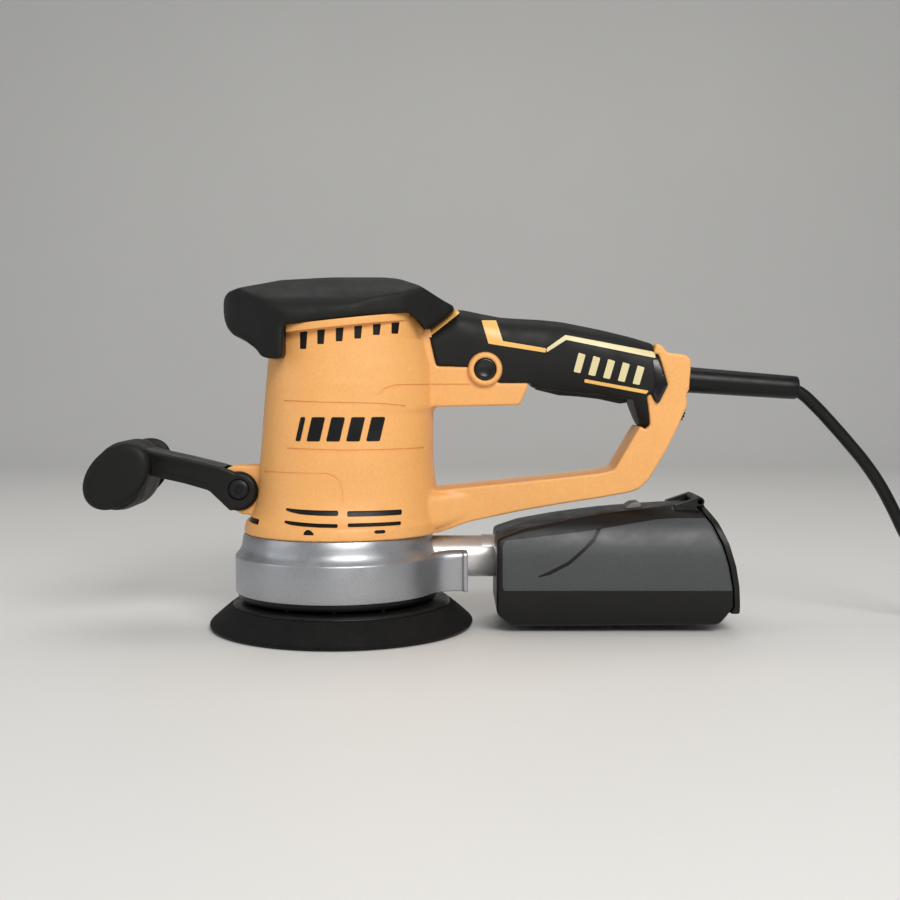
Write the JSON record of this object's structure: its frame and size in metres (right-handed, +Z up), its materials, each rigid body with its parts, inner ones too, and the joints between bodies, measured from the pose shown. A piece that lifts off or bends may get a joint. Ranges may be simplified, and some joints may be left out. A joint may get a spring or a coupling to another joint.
{
  "type": "dual action polisher",
  "caption": "Corded dual action sander-polisher with round orbital pad, rear D handle, tilting front handle, palm grip and a slide-off dust box.",
  "frame": {"origin": "centre of the pad on its working face; the pad axis is +Z", "axes": "+X from the front handle towards the mains lead, +Y towards the side with the housing screw heads, +Z up along the motor axis"},
  "size_m": [0.6074, 0.1932, 0.198],
  "materials": {
    "orange_plastic": "fine moulded grain",
    "soft_black": "matte soft-touch",
    "black_plastic": "fine moulded grain",
    "black_rubber": "smooth flexible",
    "grey_plastic": "satin moulded",
    "yellow_trim": "satin",
    "silver_paint": "metallic satin paint",
    "cast_aluminium": "turned",
    "bright_steel": "ground",
    "lamination": "machined stack",
    "copper": "enamelled",
    "carbon": "pressed",
    "pad_foam": "closed cell",
    "hook_fabric": "hook and loop",
    "filter_paper": "pleated",
    "board": "solder mask",
    "wire_cover": "insulated",
    "brass_pins": "plated"
  },
  "bodies": {
    "housing": {"housing_left": "orange_plastic", "housing_right": "orange_plastic", "palm_grip": "soft_black", "handle_grip_left": "soft_black", "handle_grip_right": "soft_black", "handle_trim": "yellow_trim", "upper_bearing": "bright_steel", "lower_bearing": "bright_steel", "bearing_plate": "cast_aluminium", "stator_core": "lamination", "field_coils": "copper", "brush_holders": "black_plastic", "carbon_brushes": "carbon", "brush_springs": "bright_steel", "air_baffle": "black_plastic", "pad_brake_ring": "black_rubber", "dust_shroud": "silver_paint", "shroud_screws": "bright_steel", "outlet_tube": "cast_aluminium", "trigger_pin": "bright_steel", "switch_body": "black_plastic", "dial_pin": "bright_steel", "speed_module": "board", "capacitor": "yellow_trim", "lead_wires": "wire_cover", "cord_clamp": "black_plastic", "housing_screws": "bright_steel", "strain_relief": "black_rubber", "power_cord": "black_rubber", "cord_coil": "black_rubber", "coil_tie": "black_plastic", "plug_lead": "black_rubber", "plug_body": "black_plastic", "plug_pins": "brass_pins"},
    "rotor": {"armature_shaft": "bright_steel", "armature_core": "lamination", "armature_windings": "copper", "commutator": "copper", "cooling_fan": "black_plastic", "extraction_fan": "black_plastic", "eccentric_counterweight": "lamination", "pad_bearing": "bright_steel"},
    "pad": {"pad_spindle": "bright_steel", "pad_screw": "bright_steel", "backing_plate": "black_plastic", "foam_layer": "pad_foam", "hook_face": "hook_fabric"},
    "trigger": {"trigger": "black_plastic"},
    "lock_button": {"lock_button": "black_plastic"},
    "speed_dial": {"speed_dial": "black_plastic"},
    "front_handle": {"front_handle_arm": "black_plastic", "front_handle_grip": "black_plastic", "handle_bolt": "bright_steel", "handle_nut": "bright_steel"},
    "dust_box": {"dust_box_front": "grey_plastic", "dust_box_container": "grey_plastic", "dust_filter": "filter_paper", "lid_hinge_pin": "bright_steel"},
    "dust_lid": {"dust_lid": "grey_plastic"}
  },
  "joints": [
    {"name": "rotor_spin", "type": "hinge", "parent": "housing", "child": "rotor", "pos_m": [-0.002, 0, 0.09], "axis": [0, 0, 1], "continuous": true},
    {"name": "pad_spin", "type": "hinge", "parent": "rotor", "child": "pad", "pos_m": [0, 0, 0.024], "axis": [0, 0, 1], "continuous": true},
    {"name": "trigger_press", "type": "hinge", "parent": "housing", "child": "trigger", "pos_m": [0.1135, 0, 0.138], "axis": [0, -1, 0], "range_deg": [0, 4.5], "stiffness_Nm_per_rad": 0.6, "springref_deg": -14.32},
    {"name": "lock_press", "type": "slide", "parent": "housing", "child": "lock_button", "axis": [0, 1, 0], "range_m": [0, 0.003], "stiffness_N_per_m": 400, "springref_m": -0.004},
    {"name": "speed_turn", "type": "hinge", "parent": "housing", "child": "speed_dial", "pos_m": [0.188, 0, 0.1222], "axis": [0, 1, 0], "range_deg": [-135, 135]},
    {"name": "front_handle_tilt", "type": "hinge", "parent": "housing", "child": "front_handle", "pos_m": [-0.057, 0, 0.0785], "axis": [0, 1, 0], "range_deg": [-30, 45]},
    {"name": "dust_box_slide", "type": "slide", "parent": "housing", "child": "dust_box", "axis": [1, 0, 0], "range_m": [0, 0.03]},
    {"name": "dust_lid_swing", "type": "hinge", "parent": "dust_box", "child": "dust_lid", "pos_m": [0.202, 0, 0.072], "axis": [0, -1, 0], "range_deg": [0, 70]}
  ]
}
